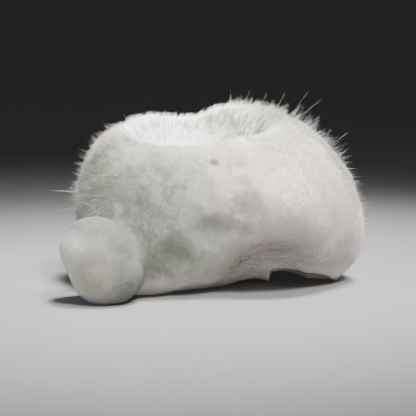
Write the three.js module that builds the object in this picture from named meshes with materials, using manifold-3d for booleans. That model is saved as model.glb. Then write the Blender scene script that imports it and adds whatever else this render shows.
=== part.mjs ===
// Okenite puffball: a broken ball of radiating okenite fibres with a smaller, smooth ball grown onto
// its lower front. The whole specimen grew together, so it is one solid: rounded lobes that blend
// into each other, a broken crater in the top, a broken right side that slants in over a low arch, a
// few pits, and the fibre bundles and long whiskers that stand out of it, fused to what they grow from.
//
// Millimetres. +X is the long way of the specimen, -Y is its front, +Z is up, and z = 0 is the
// surface that it rests on.
import * as THREE from 'three';
import { mergeVertices } from 'three/addons/utils/BufferGeometryUtils.js';
import Module from 'manifold-3d';

const wasm = await Module();
wasm.setup();

// ---------------------------------------------------------------- driving dimensions

// The middle of the specimen's box as seen from above. The finished solid is moved so that this
// point, as the places below count it, comes to 0, 0.
const BOX_MIDDLE = { x: 0.41, y: 1.46 };

const GROWTH_CENTRE = new THREE.Vector3(1, 3, 10); // inside the main ball, every lobe is seen from it
const SMALL_BALL_CENTRE = new THREE.Vector3(-12.8, -11.5, 5);
const REACH = 34; // further from either centre than any surface

const lobe = (centre, radii) => ({
  centre: new THREE.Vector3(...centre),
  radii: new THREE.Vector3(...radii),
});

// The main ball, out to the tips of its short fuzz.
const MAIN_LOBES = {
  rightDome: lobe([3.6, 2.7, 11.4], [15.2, 11.8, 10.9]),
  backCrest: lobe([3.9, 8.6, 12.8], [10.7, 8.0, 10.6]),
  leftDome: lobe([-3.5, 3.5, 10.1], [13.9, 11.0, 9.15]),
  frontBelly: lobe([-4.6, -1.9, 6.4], [9.0, 9.0, 6.3]),
  rightFoot: lobe([13.0, 4.6, 6.2], [7.4, 8.0, 6.9]),
  leftBack: lobe([-6.9, 8.1, 12.5], [9.5, 7.5, 9.2]),
  rightBrow: lobe([8.6, -2.0, 9.8], [8.0, 7.4, 5.7]),
  neck: lobe([-9.2, -6.8, 4.2], [4.0, 4.2, 3.9]),
};
const MAIN_BLEND = 4; // how far two lobes melt into each other

const SMALL_LOBES = {
  upper: lobe([-13.95, -11.3, 6.5], [4.35, 4.7, 4.0]),
  lower: lobe([-12.5, -11.7, 3.3], [4.4, 4.5, 3.9]),
};
const SMALL_BLEND = 1.6;
const SMALL_REACH = 9; // further from the small ball's centre than its surface and its neck
const NECK_BLEND = 1.8; // how far the small ball and the main ball melt into each other
const NECK_TAPER = 0.2; // how steeply the neck's edge dips under the main ball's surface
const NECK_DEPTH = 1; // how deep the small ball's solid goes into the main ball

const CRATER_LOBES = {
  dish: lobe([-1.2, 2.9, 22.1], [9.1, 8.2, 6.2]),
  frontLip: lobe([1.5, -1.4, 24.1], [9.3, 7.4, 5.6]),
  leftEnd: lobe([-7.3, 3.3, 23.1], [6.6, 6.3, 4.8]),
  rightEnd: lobe([5.4, 3.2, 25.6], [8.6, 8.6, 4.9]),
};
const CRATER_BLEND = 1.5;
const CRATER_MIDDLE = new THREE.Vector3(-1.3, 1.4, 22.9); // inside the crater, all of it is seen from it

// The crater's rim is crisp at its front and its back, and soft at both ends, where the crater opens.
// It softens from one x to another, and stays crisp behind one y.
const RIM = { rounding: 0.3, endRounding: 2.4, right: [2, 8.5], left: [8.5, 11.5], back: [1.5, 5] };
const RIM_SINK = 0.3; // how far inside the crater's wall the softened rim ends

// The broken right side slants in from the front's belly to the low arch under it.
const UNDERCUT = lobe([8.9, -13.6, -9.0], [11.8, 16.2, 16.2]);
const UNDERCUT_BLEND = 2.2;
const UNDERCUT_MIDDLE = new THREE.Vector3(9, -9, -1);
const ARCH_LOBES = {
  corner: lobe([8.95, 0.5, 1.3], [0.95, 8.0, 1.1]),
  step: lobe([9.9, 0.5, 0.2], [1.9, 8.0, 2.15]),
  middle: lobe([10.9, 0.5, -0.4], [2.6, 8.0, 2.75]),
  right: lobe([13.2, -1.0, -1.9], [4.6, 7.5, 3.6]),
  left: lobe([5.9, -1.0, -4.0], [4.2, 7.0, 5.0]),
};
const ARCH_BLEND = 0.4;
const ARCH_MIDDLE = new THREE.Vector3(9.2, -0.2, -1.5); // from here all of the arch is in view

// Soft dents of the front and of the crater's back rim, as the ellipsoids that press them in, and a
// pinhole with crisp edges.
const DENTS = {
  furrow: lobe([4.4, -10.9, 11.5], [1.6, 1.9, 1.1]),
  furrowEnd: lobe([0.8, -11.0, 8.6], [2.2, 2.0, 1.3]),
  lowHollow: lobe([-4.0, -12.0, 4.8], [2.0, 2.0, 2.4]),
  rimNotch: lobe([-3.0, 10.8, 23.2], [1.6, 2.6, 1.3]),
};
const DENT_BLEND = 1.6;
const PINHOLE = lobe([0.6, -7.5, 16.7], [0.6, 1.0, 0.6]);

// Low lumps all over the main ball: heights of two sizes of lump, and how close they stand, per mm.
const LUMPS = [
  { height: 0.09, closeness: 0.7, shift: 1.3 },
  { height: 0.04, closeness: 1.3, shift: 4.2 },
];
const LUMP_DRIFT = 1.1; // how far the lumps wander from an even spacing

// Fibre bundles on the two broken faces fan out from these hidden centres. Each row stands at one
// slope from the hollow's middle, and runs from one angle to another round it.
const CRATER_FAN = {
  centre: new THREE.Vector3(-5, 0, 13.4),
  middle: CRATER_MIDDLE,
  slopes: [-0.34, -0.12],
  from: -0.25,
  to: 3.4,
  count: 20,
  length: 6.5,
  radius: 0.75,
};
const UNDERCUT_FAN = {
  centre: new THREE.Vector3(0.8, -4, 4.2),
  middle: UNDERCUT_MIDDLE,
  slopes: [0.75, 1.15],
  from: 0.4,
  to: 2.5,
  count: 8,
  length: 4.5,
  radius: 0.5,
};
const BUNDLE_LIFT = 0.16; // how far a bundle leans out of its face, as a share of its length
const BUNDLE_RISE = 0.25; // how far its middle stands out of the face, as a share of its radius
const BUNDLE_OVER_RIM = 0.5; // the most that a bundle's tip passes the rim
const BUNDLE_SIDES = 4;

// Whiskers: every place of a spiral round the main ball is tried, and kept where whiskers grow.
const WHISKER_PLACES = 300;
const WHISKER_RADIUS = 0.2;
const WHISKER_ROOT = 0.9; // length of a whisker that is sunk in the ball
const WHISKER_SIDES = 3;
const WHISKER_LEAN = 0.7; // how far whiskers stray from their rays
const GOLDEN_ANGLE = Math.PI * (3 - Math.sqrt(5));
const LOWEST_WHISKER = 3.2; // height over the surface below which no whisker grows
const WHISKER_LENGTH = { crest: 2.4, leftCrest: 0.9, leftSide: 2.0, rightSide: 1.3, back: 1.8 };
const CLEAR_OF_BREAKS = 0.35; // the least distance from a whisker to a broken face or the small ball

// Longest whiskers on the crest and the left side, as a direction from the growth centre.
const LONG_WHISKERS = [
  { azimuth: 1, elevation: 50, length: 4.6, lean: 6 },
  { azimuth: 4, elevation: 47, length: 4.8, lean: -8 },
  { azimuth: -6, elevation: 58, length: 3.4, lean: 4 },
  { azimuth: 5, elevation: 27, length: 3.6, lean: 10 },
  { azimuth: 181, elevation: 6, length: 3.8, lean: -4 },
  { azimuth: 184, elevation: 0, length: 3.6, lean: -14 },
];

// How finely the round solids are faceted: a detail of 15 has 20 * 16 * 16 faces.
const BALL_DETAIL = 15;
const SMALL_DETAIL = 7;
const TOOL_DETAIL = 7;

// ---------------------------------------------------------------- distance to the lobes

function ellipsoidDistance(point, { centre, radii }) {
  const scaled = point.clone().sub(centre).divide(radii);
  const level = scaled.length();
  const slope = scaled.divide(radii).length();
  return slope > 0 ? (level * (level - 1)) / slope : -Math.min(radii.x, radii.y, radii.z);
}

function smoothUnion(a, b, blend) {
  const share = THREE.MathUtils.clamp(0.5 + (0.5 * (b - a)) / blend, 0, 1);
  return THREE.MathUtils.lerp(b, a, share) - blend * share * (1 - share);
}

const smoothCut = (a, b, blend) => -smoothUnion(-a, b, blend);

function lobesDistance(point, lobes, blend) {
  return Object.values(lobes)
    .map((one) => ellipsoidDistance(point, one))
    .reduce((a, b) => smoothUnion(a, b, blend));
}

function lumpsAt(point) {
  const { sin, cos } = Math;
  let sum = 0;
  for (const { height, closeness, shift } of LUMPS) {
    const [a, b, c] = point.toArray().map((value) => value * closeness + shift);
    const x = a + LUMP_DRIFT * sin(0.8 * b + 1);
    const y = b + LUMP_DRIFT * sin(0.7 * c + 2);
    const z = c + LUMP_DRIFT * sin(0.9 * a + 3);
    sum += height * (sin(x) * cos(y) + sin(y) * cos(z) + sin(z) * cos(x));
  }
  return sum;
}

const undercutDistance = (point) => ellipsoidDistance(point, UNDERCUT);
const craterDistance = (point) => lobesDistance(point, CRATER_LOBES, CRATER_BLEND);
const archDistance = (point) => lobesDistance(point, ARCH_LOBES, ARCH_BLEND);

// The main ball with its dents and its slanting right side, before the crater broke it.
function mainDistance(point) {
  const whole = lobesDistance(point, MAIN_LOBES, MAIN_BLEND) + lumpsAt(point);
  const dented = Object.values(DENTS).reduce(
    (distance, dent) => smoothCut(distance, ellipsoidDistance(point, dent), DENT_BLEND),
    whole,
  );
  return smoothCut(dented, undercutDistance(point), UNDERCUT_BLEND);
}

function rimRounding({ x, y }) {
  const { smoothstep } = THREE.MathUtils;
  const atEnds = smoothstep(x, ...RIM.right) + smoothstep(-x, ...RIM.left);
  return RIM.rounding + RIM.endRounding * atEnds * (1 - smoothstep(y, ...RIM.back));
}

// The main ball with the soft part of the crater's rim.
const openedDistance = (point) =>
  smoothCut(mainDistance(point), craterDistance(point) + RIM_SINK, rimRounding(point));

const smallDistance = (point) => lobesDistance(point, SMALL_LOBES, SMALL_BLEND);

// The small ball with its neck, as deep into the main ball as the two overlap.
function neckedDistance(point) {
  const main = mainDistance(point);
  const small = smallDistance(point);
  const neck = smoothUnion(main + NECK_TAPER * Math.max(small, 0), small, NECK_BLEND);
  return Math.max(neck, -main - NECK_DEPTH);
}

// The point where a ray from inside a shape leaves it.
function surfacePoint(distance, origin, direction, reach = REACH) {
  let inside = 0;
  let outside = reach;
  for (let step = 0; step < 26; step++) {
    const middle = (inside + outside) / 2;
    const here = origin.clone().addScaledVector(direction, middle);
    if (distance(here) < 0) inside = middle;
    else outside = middle;
  }
  return origin.clone().addScaledVector(direction, outside);
}

function outwardNormal(distance, point) {
  const step = 0.02;
  const slope = (x, y, z) =>
    distance(point.clone().add(new THREE.Vector3(x, y, z))) -
    distance(point.clone().sub(new THREE.Vector3(x, y, z)));
  return new THREE.Vector3(slope(step, 0, 0), slope(0, step, 0), slope(0, 0, step)).normalize();
}

// ---------------------------------------------------------------- solids

function solidOf(geometry) {
  const bare = geometry.clone();
  bare.deleteAttribute('normal');
  bare.deleteAttribute('uv');
  const merged = mergeVertices(bare, 1e-4);
  return new wasm.Manifold(
    new wasm.Mesh({
      numProp: 3,
      vertProperties: new Float32Array(merged.attributes.position.array),
      triVerts: new Uint32Array(merged.index.array),
    }),
  );
}

function geometryOf(solid) {
  const mesh = solid.getMesh();
  const geometry = new THREE.BufferGeometry();
  geometry.setAttribute('position', new THREE.BufferAttribute(mesh.vertProperties, 3));
  geometry.setIndex(new THREE.BufferAttribute(mesh.triVerts, 1));
  return geometry;
}

// A closed surface round a centre that sees all of it: an icosahedron's points, each moved out along
// its own ray to the surface.
function roundSolid(distance, centre, detail, reach) {
  const geometry = new THREE.IcosahedronGeometry(1, detail);
  const places = geometry.attributes.position;
  const direction = new THREE.Vector3();
  for (let i = 0; i < places.count; i++) {
    direction.fromBufferAttribute(places, i).normalize();
    const point = surfacePoint(distance, centre, direction, reach);
    places.setXYZ(i, point.x, point.y, point.z);
  }
  return solidOf(geometry);
}

// A slender pyramid with its base at `root` and its tip `length` away.
function spikeSolid({ root, along, length, radius, sides }) {
  const cone = new THREE.ConeGeometry(radius, length, sides, 1);
  cone.translate(0, length / 2, 0);
  const turn = new THREE.Quaternion().setFromUnitVectors(new THREE.Vector3(0, 1, 0), along);
  cone.applyQuaternion(turn);
  cone.translate(root.x, root.y, root.z);
  return solidOf(cone);
}

function pinholeSolid() {
  const { centre, radii } = PINHOLE;
  const hole = new THREE.IcosahedronGeometry(1, 1);
  hole.scale(radii.x, radii.y, radii.z);
  hole.translate(centre.x, centre.y, centre.z);
  return solidOf(hole);
}

// A number from 0 to 1 that differs from one whole number to the next, the same on every run.
function scatter(index, salt) {
  const wild = Math.sin(index * 12.9898 + salt * 78.233) * 43758.5453;
  return wild - Math.floor(wild);
}

// ---------------------------------------------------------------- fibre bundles and whiskers

// Bundles that lie on a broken face and fan out from the hidden centre of the fibres.
function fanBundles(faceDistance, fan) {
  const bundles = [];
  for (const [row, slope] of fan.slopes.entries()) {
    for (let i = 0; i < fan.count; i++) {
      const index = row * fan.count + i;
      const share = (i + 0.5 * row + 0.4 * scatter(index, 1)) / fan.count;
      const angle = THREE.MathUtils.lerp(fan.from, fan.to, share);
      const outward = new THREE.Vector3(Math.cos(angle), Math.sin(angle), slope).normalize();
      const place = surfacePoint(faceDistance, fan.middle, outward);
      const intoHollow = outwardNormal(faceDistance, place).negate();
      const along = place.clone().sub(fan.centre);
      along.addScaledVector(intoHollow, -along.dot(intoHollow)).normalize();
      along.addScaledVector(intoHollow, BUNDLE_LIFT).normalize();
      const radius = fan.radius * (0.75 + 0.5 * scatter(index, 3));
      place.addScaledVector(intoHollow, BUNDLE_RISE * radius);
      const toRim = surfacePoint(mainDistance, place, along).distanceTo(place);
      const half = Math.min(fan.length * (0.4 + 0.2 * scatter(index, 2)), toRim + BUNDLE_OVER_RIM);
      const root = place.clone().addScaledVector(along, -half);
      bundles.push({ root, along, length: 2 * half, radius, sides: BUNDLE_SIDES });
    }
  }
  return bundles;
}

const bodyHolds = (point) =>
  mainDistance(point) < 0 && craterDistance(point) > 0 && archDistance(point) > 0;

// How long whiskers grow at a place of the ball, or 0 where there are none.
function whiskerLength(point, direction) {
  const broken = Math.min(craterDistance(point), undercutDistance(point), smallDistance(point));
  if (point.z < LOWEST_WHISKER || broken < CLEAR_OF_BREAKS) return 0;
  if (direction.y < -0.45) return 0; // the front is felted
  if (direction.z > 0.35 && direction.x > 0.1) return WHISKER_LENGTH.crest;
  if (direction.z > 0.3) return WHISKER_LENGTH.leftCrest;
  if (direction.y > 0.5) return WHISKER_LENGTH.back;
  return direction.x > 0 ? WHISKER_LENGTH.rightSide : WHISKER_LENGTH.leftSide;
}

function whiskers() {
  const found = [];
  for (let i = 0; i < WHISKER_PLACES; i++) {
    const rise = 1 - (2 * (i + 0.5)) / WHISKER_PLACES;
    const level = Math.sqrt(1 - rise * rise);
    const turn = i * GOLDEN_ANGLE;
    const direction = new THREE.Vector3(level * Math.cos(turn), level * Math.sin(turn), rise);
    const tip = surfacePoint(mainDistance, GROWTH_CENTRE, direction);
    const length = whiskerLength(tip, direction) * (0.5 + 0.9 * scatter(i, 4));
    if (length === 0) continue;
    const lean = new THREE.Vector3(scatter(i, 5), scatter(i, 6), scatter(i, 7)).subScalar(0.5);
    const along = direction.clone().addScaledVector(lean, WHISKER_LEAN).normalize();
    found.push({ tip, along, length });
  }
  for (const { azimuth, elevation, length, lean } of LONG_WHISKERS) {
    const direction = fromAngles(azimuth, elevation);
    const tip = surfacePoint(mainDistance, GROWTH_CENTRE, direction);
    found.push({ tip, along: fromAngles(azimuth, elevation + lean), length });
  }
  return found.map(({ tip, along, length }) => ({
    root: tip.addScaledVector(along, -WHISKER_ROOT),
    along,
    length: length + WHISKER_ROOT,
    radius: WHISKER_RADIUS,
    sides: WHISKER_SIDES,
  }));
}

function fromAngles(azimuth, elevation) {
  const turn = THREE.MathUtils.degToRad(azimuth);
  const rise = THREE.MathUtils.degToRad(elevation);
  const level = Math.cos(rise);
  return new THREE.Vector3(level * Math.cos(turn), level * Math.sin(turn), Math.sin(rise));
}

// ---------------------------------------------------------------- the specimen

function brokenBall() {
  const mainBall = roundSolid(openedDistance, GROWTH_CENTRE, BALL_DETAIL);
  const crater = roundSolid(craterDistance, CRATER_MIDDLE, TOOL_DETAIL);
  const arch = roundSolid(archDistance, ARCH_MIDDLE, TOOL_DETAIL);
  return mainBall.subtract(crater).subtract(arch).subtract(pinholeSolid());
}

function puffball() {
  let solid = brokenBall();
  const spikes = [
    ...fanBundles(craterDistance, CRATER_FAN),
    ...fanBundles(undercutDistance, UNDERCUT_FAN),
    ...whiskers(),
  ];
  for (const one of spikes) {
    if (bodyHolds(one.root)) solid = solid.add(spikeSolid(one));
  }
  solid = solid.add(roundSolid(neckedDistance, SMALL_BALL_CENTRE, SMALL_DETAIL, SMALL_REACH));
  const below = new THREE.BoxGeometry(80, 80, 20).translate(0, 0, -10);
  return solid.subtract(solidOf(below));
}

const fibre = new THREE.MeshStandardMaterial({ color: 0xdedbd2, roughness: 0.85, metalness: 0 });
const specimen = new THREE.Mesh(geometryOf(puffball()), fibre);
specimen.name = 'okenite_puffball';
specimen.position.set(-BOX_MIDDLE.x, -BOX_MIDDLE.y, 0);

const part = new THREE.Group();
part.add(specimen);

export default part;
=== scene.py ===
"""An okenite puffball: a broken ball of radiating white fibres with a small, smooth ball grown onto it.

The whole form is one distance field in millimetres: lobes that melt into each other, less the broken
crater in the top, and the undercut and the low arch under the right side. The felted skin, the short
fuzz that stands on it, the whiskers and the silky fibres of the two broken faces all take their
places from that field. +X is the long way of the specimen, -Y its front, +Z up, and z = 0 the
surface that it rests on.
"""

from __future__ import annotations

import logging
import math
from collections.abc import Callable, Mapping, Sequence
from dataclasses import dataclass, field
from enum import Enum
from functools import reduce

import bpy
import numpy as np
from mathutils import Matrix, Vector
from numpy.typing import NDArray

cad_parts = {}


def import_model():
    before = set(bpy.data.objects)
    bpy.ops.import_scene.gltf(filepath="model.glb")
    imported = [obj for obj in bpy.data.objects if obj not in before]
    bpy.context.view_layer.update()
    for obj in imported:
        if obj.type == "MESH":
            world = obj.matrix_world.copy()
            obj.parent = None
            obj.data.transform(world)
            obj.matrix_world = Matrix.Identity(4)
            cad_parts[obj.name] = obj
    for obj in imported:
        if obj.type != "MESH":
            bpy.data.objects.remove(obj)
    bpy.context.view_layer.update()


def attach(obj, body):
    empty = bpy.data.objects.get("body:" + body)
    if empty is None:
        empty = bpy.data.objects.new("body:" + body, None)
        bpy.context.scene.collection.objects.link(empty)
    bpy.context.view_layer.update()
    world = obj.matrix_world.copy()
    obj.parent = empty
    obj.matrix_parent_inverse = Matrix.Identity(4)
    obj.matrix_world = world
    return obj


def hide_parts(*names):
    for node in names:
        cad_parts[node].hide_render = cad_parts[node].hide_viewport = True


LOG = logging.getLogger("puffball")

Array = NDArray[np.float64]
Whole = NDArray[np.int64]
Triple = tuple[float, float, float]
Distance = Callable[[Array], Array]
Colour = tuple[float, float, float]

NODE = "okenite_puffball"
BODY = "root"
BOX_MIDDLE: Triple = (0.41, 1.46, 0.0)
GOLDEN_ANGLE = math.pi * (3 - math.sqrt(5))
FLOOR_ROOM = 0.02  # How far above the floor a fibre's tip stays, in millimetres.


# ---------------------------------------------------------------- numbers


def lengths(vectors: Array) -> Array:
    """The length of each vector."""
    return np.sqrt((vectors * vectors).sum(-1))


def unit(vectors: Array) -> Array:
    """Each vector at length 1."""
    return vectors / np.maximum(lengths(vectors), 1e-9)[..., None]


def smooth_step(low: float, high: float, values: Array) -> Array:
    """Shares that rise from 0 at `low` to 1 at `high`.

    Args:
        low: the value that gives 0.
        high: the value that gives 1, which may be the smaller of the two.
        values: the values to grade.

    Returns:
        One share for each value.
    """
    share = np.clip((values - low) / (high - low), 0, 1)
    return share * share * (3 - 2 * share)


def smooth_union(a: Array, b: Array, blend: float | Array) -> Array:
    """The distance to two forms that melt into each other.

    Args:
        a: the distance to one form.
        b: the distance to the other.
        blend: how far the two melt into each other.

    Returns:
        The distance to both together.
    """
    share = np.clip(0.5 + 0.5 * (b - a) / blend, 0, 1)
    return b + (a - b) * share - blend * share * (1 - share)


def smooth_cut(a: Array, b: Array, blend: float | Array) -> Array:
    """The distance to a form less another one, whose cut edge is rounded by `blend`."""
    return -smooth_union(-a, b, blend)


def scatter(index: Array | float, salt: int) -> Array:
    """Numbers from 0 to 1 that look random and are the same on every run, one for each index."""
    wild = np.sin(np.asarray(index, float) * 12.9898 + salt * 78.233) * 43758.5453
    return wild - np.floor(wild)


def from_angles(azimuth: float, elevation: float) -> Array:
    """The direction at an azimuth and an elevation.

    Args:
        azimuth: the turn about +Z from +X, in degrees.
        elevation: the rise above level, in degrees.

    Returns:
        The direction, of length 1.
    """
    turn, rise = math.radians(azimuth), math.radians(elevation)
    level = math.cos(rise)
    return np.array([level * math.cos(turn), level * math.sin(turn), math.sin(rise)])


@dataclass(frozen=True)
class Noise:
    """Smooth random values in space, from a block of random numbers that repeats."""

    seed: int
    side: int = 32

    def at(self, points: Array) -> Array:
        """The noise at some points.

        Args:
            points: places, where one unit is the distance between two random numbers.

        Returns:
            A value from -1 to 1 at each point.
        """
        block = np.random.default_rng(self.seed).uniform(-1, 1, (self.side,) * 3)
        whole = np.floor(points)
        share = points - whole
        share = share * share * (3 - 2 * share)
        low = whole.astype(int) % self.side
        high = (low + 1) % self.side
        total = np.zeros(len(points))
        for corner in range(8):
            picks = [(corner >> axis) & 1 for axis in range(3)]
            place = [(high if pick else low)[:, axis] for axis, pick in enumerate(picks)]
            weights = [share[:, axis] if pick else 1 - share[:, axis] for axis, pick in enumerate(picks)]
            total += block[place[0], place[1], place[2]] * weights[0] * weights[1] * weights[2]
        return total


# ---------------------------------------------------------------- the form


@dataclass(frozen=True)
class Lobe:
    """An ellipsoid, by its centre and its three radii."""

    centre: Triple
    radii: Triple

    def distance(self, points: Array) -> Array:
        """The distance to the lobe, nearly.

        Args:
            points: places in millimetres.

        Returns:
            About how far each point is outside the lobe, less than 0 inside it.
        """
        scaled = (points - self.centre) / self.radii
        level = lengths(scaled)
        slope = lengths(scaled / self.radii)
        found = level * (level - 1) / np.maximum(slope, 1e-9)
        return np.where(slope > 1e-6, found, -min(self.radii))


@dataclass(frozen=True)
class Lobes:
    """Lobes that melt into each other."""

    blend: float
    lobes: tuple[Lobe, ...]

    def distance(self, points: Array) -> Array:
        """The distance to the blended lobes.

        Args:
            points: places in millimetres.

        Returns:
            The distance from each point, less than 0 inside them.
        """
        found = self.lobes[0].distance(points)
        for one in self.lobes[1:]:
            found = smooth_union(found, one.distance(points), self.blend)
        return found


@dataclass(frozen=True)
class Lumps:
    """Low lumps that wander from an even spacing."""

    height: float
    closeness: float
    shift: float
    drift: float = 1.1

    def height_at(self, points: Array) -> Array:
        """How the lumps shape the surface.

        Args:
            points: places in millimetres.

        Returns:
            How far the surface is sunk at each point.
        """
        a, b, c = (points * self.closeness + self.shift).T
        x = a + self.drift * np.sin(0.8 * b + 1)
        y = b + self.drift * np.sin(0.7 * c + 2)
        z = c + self.drift * np.sin(0.9 * a + 3)
        return self.height * (np.sin(x) * np.cos(y) + np.sin(y) * np.cos(z) + np.sin(z) * np.cos(x))


@dataclass(frozen=True)
class Fan:
    """The fibres of a broken face, which spread from a hidden centre.

    `relief` is how far the face's ridges stand out.
    """

    centre: Triple
    relief: float

    def ridges(self, points: Array) -> Array:
        """The face's ridges, which lie along the fibres' own rays.

        Args:
            points: places in millimetres.

        Returns:
            How far the ridges stand out at each point.
        """
        rays = unit(points - self.centre)
        coarse, fine = Noise(11).at(rays * 9 + 40), Noise(12).at(rays * 24 + 40)
        return self.relief * (coarse + 0.5 * fine)


class Region(Enum):
    """The parts of the surface, which wear different fibres."""

    BALL = 0
    CRATER = 1
    UNDERSIDE = 2
    SMALL_BALL = 3
    BASE = 4


@dataclass(frozen=True)
class Form:
    """The specimen's form, out to the tips of its short fuzz, and the felted skin inside that."""

    growth_centre: Triple = (1.0, 3.0, 10.0)
    main_lobes: Lobes = Lobes(
        4.0,
        (
            Lobe((3.6, 2.7, 11.4), (15.2, 11.8, 10.9)),
            Lobe((3.9, 8.6, 12.8), (10.7, 8.0, 10.6)),
            Lobe((-3.5, 3.5, 10.1), (13.9, 11.0, 9.15)),
            Lobe((-4.6, -1.9, 6.4), (9.0, 9.0, 6.3)),
            Lobe((13.0, 4.6, 6.2), (7.4, 8.0, 6.9)),
            Lobe((-6.9, 8.1, 12.5), (9.5, 7.5, 9.2)),
            Lobe((8.6, -2.0, 9.8), (8.0, 7.4, 5.7)),
            Lobe((-9.2, -6.8, 4.2), (4.0, 4.2, 3.9)),
        ),
    )
    small_lobes: Lobes = Lobes(
        1.6,
        (
            Lobe((-13.95, -11.3, 6.5), (4.35, 4.7, 4.0)),
            Lobe((-12.5, -11.7, 3.3), (4.4, 4.5, 3.9)),
        ),
    )
    crater_lobes: Lobes = Lobes(
        1.5,
        (
            Lobe((-1.2, 2.9, 22.1), (9.1, 8.2, 6.2)),
            Lobe((1.5, -1.4, 24.1), (9.3, 7.4, 5.6)),
            Lobe((-7.3, 3.3, 23.1), (6.6, 6.3, 4.8)),
            Lobe((5.4, 3.2, 25.6), (8.6, 8.6, 4.9)),
        ),
    )
    undercut: Lobe = Lobe((8.9, -13.6, -9.0), (11.8, 16.2, 16.2))
    underside_lobes: Lobes = Lobes(
        0.4,
        (
            Lobe((8.95, 0.5, 1.3), (0.95, 8.0, 1.1)),
            Lobe((9.9, 0.5, 0.2), (1.9, 8.0, 2.15)),
            Lobe((10.9, 0.5, -0.4), (2.6, 8.0, 2.75)),
            Lobe((13.2, -1.0, -1.9), (4.6, 7.5, 3.6)),
            Lobe((5.9, -1.0, -4.0), (4.2, 7.0, 5.0)),
        ),
    )
    dents: tuple[Lobe, ...] = (
        Lobe((4.4, -10.9, 11.5), (1.6, 1.9, 1.1)),
        Lobe((0.8, -11.0, 8.6), (2.2, 2.0, 1.3)),
        Lobe((-4.0, -12.0, 4.8), (2.0, 2.0, 2.4)),
        Lobe((-3.0, 10.8, 23.2), (1.6, 2.6, 1.3)),
    )
    dent_blend: float = 1.6
    undercut_rounding: float = 2.2
    hem: float = 0.22
    pinhole: Lobe = Lobe((0.6, -7.5, 16.7), (0.6, 1.0, 0.6))
    lumps: tuple[Lumps, ...] = (Lumps(0.09, 0.7, 1.3), Lumps(0.04, 1.3, 4.2))
    crater_fan: Fan = Fan((-5.0, 0.0, 13.4), 0.24)
    underside_fan: Fan = Fan((0.8, -4.0, 4.2), 0.2)
    felt_depth: float = 0.38
    velvet_depth: float = 0.1
    lip_rounding: float = 0.3
    open_rounding: float = 2.4
    underside_rounding: float = 0.3
    neck_rounding: float = 1.8

    def main(self, points: Array) -> Array:
        """The distance to the main ball before its top broke open.

        Args:
            points: places in millimetres.

        Returns:
            The distance from each point, less than 0 inside the ball.
        """
        found = self.main_lobes.distance(points)
        for lumps in self.lumps:
            found = found + lumps.height_at(points)
        for dent in self.dents:
            found = smooth_cut(found, dent.distance(points), self.dent_blend)
        return smooth_cut(found, self.undercut.distance(points), self.undercut_rounding)

    def small(self, points: Array) -> Array:
        """The distance to the small ball."""
        return self.small_lobes.distance(points)

    def crater(self, points: Array) -> Array:
        """The distance to the room of the crater."""
        return self.crater_lobes.distance(points)

    def underside(self, points: Array) -> Array:
        """The distance to the room of the low arch under the right side."""
        return self.underside_lobes.distance(points)

    def skin(self, points: Array) -> Array:
        """The distance to the felted skin, on whose outside the fuzz stands.

        Args:
            points: places in millimetres.

        Returns:
            The distance from each point to the skin, less than 0 inside it.
        """
        clumps = 0.05 * Noise(3).at(points / 0.9) + 0.03 * Noise(4).at(points / 0.42)
        hem = self.hem * Noise(7).at(points / 1.2) * smooth_step(2.6, 0.8, points[:, 2])
        found = self.main(points) + self.felt_at(points) + clumps + hem
        crater = self.crater(points) - self.crater_fan.ridges(points)
        found = smooth_cut(found, crater, self.crater_rounding(points))
        by_undercut = smooth_step(1.2, 0.2, self.undercut.distance(points))
        found = found + self.underside_fan.ridges(points) * by_undercut
        found = smooth_cut(found, self.underside(points), self.underside_rounding)
        found = smooth_cut(found, self.pinhole.distance(points), 0.2)
        dimples = 0.1 * Noise(5).at(points / 1.9) + 0.03 * Noise(6).at(points / 0.6)
        found = smooth_union(found, self.small(points) + self.velvet_depth + dimples, self.neck_rounding)
        return smooth_cut(found, points[:, 2], 0.1)

    def felt_at(self, points: Array) -> Array:
        """How deep the felted skin lies under the fuzz's tips: less at the base, which presses them."""
        return self.felt_depth * (0.25 + 0.75 * smooth_step(0.4, 3.0, points[:, 2]))

    def crater_rounding(self, points: Array) -> Array:
        """How rounded the crater's rim is: crisp along the front lip and the back, open at both ends.

        Args:
            points: places in millimetres.

        Returns:
            The rounding at each point, in millimetres.
        """
        x, y = points[:, 0], points[:, 1]
        open_end = smooth_step(2.0, 8.5, x) + smooth_step(-8.5, -11.5, x)
        back = smooth_step(1.5, 5.0, y)
        return self.lip_rounding + self.open_rounding * open_end * (1 - back)

    def region(self, points: Array) -> Whole:
        """Which part of the surface each point of the skin belongs to.

        Args:
            points: places on the skin.

        Returns:
            The value of the point's region.
        """
        gaps = np.abs(
            [
                self.main(points) + self.felt_at(points),
                np.abs(self.crater(points)) + 0.3,
                self.underside(points),
                self.small(points) + self.velvet_depth,
            ]
        )
        nearest = gaps.argmin(0)
        cut_away = (nearest == Region.BALL.value) & (self.undercut.distance(points) < 0.8)
        nearest = np.where(cut_away, Region.UNDERSIDE.value, nearest)
        return np.where(points[:, 2] < 0.06, Region.BASE.value, nearest)


def outward(distance: Distance, points: Array, step: float = 0.03) -> Array:
    """The direction in which a distance grows fastest.

    Args:
        distance: the distance field.
        points: places in millimetres.
        step: how far apart the field is read.

    Returns:
        A direction of length 1 at each point.
    """
    moves = np.eye(3) * step
    return unit(np.stack([distance(points + move) - distance(points - move) for move in moves], -1))


def surface_points(distance: Distance, origin: Triple, directions: Array, reach: float = 34.0) -> Array:
    """Where rays from inside a form leave it.

    Args:
        distance: the form's distance field.
        origin: a point inside the form that sees all of it.
        directions: the rays' directions, of length 1.
        reach: a distance that is past the surface everywhere.

    Returns:
        One point of the surface for each ray.
    """
    inside, outside = np.zeros(len(directions)), np.full(len(directions), reach)
    for _ in range(22):
        middle = (inside + outside) / 2
        within = distance(origin + directions * middle[:, None]) < 0
        inside, outside = np.where(within, middle, inside), np.where(within, outside, middle)
    return origin + directions * outside[:, None]


# ---------------------------------------------------------------- meshes


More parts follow.
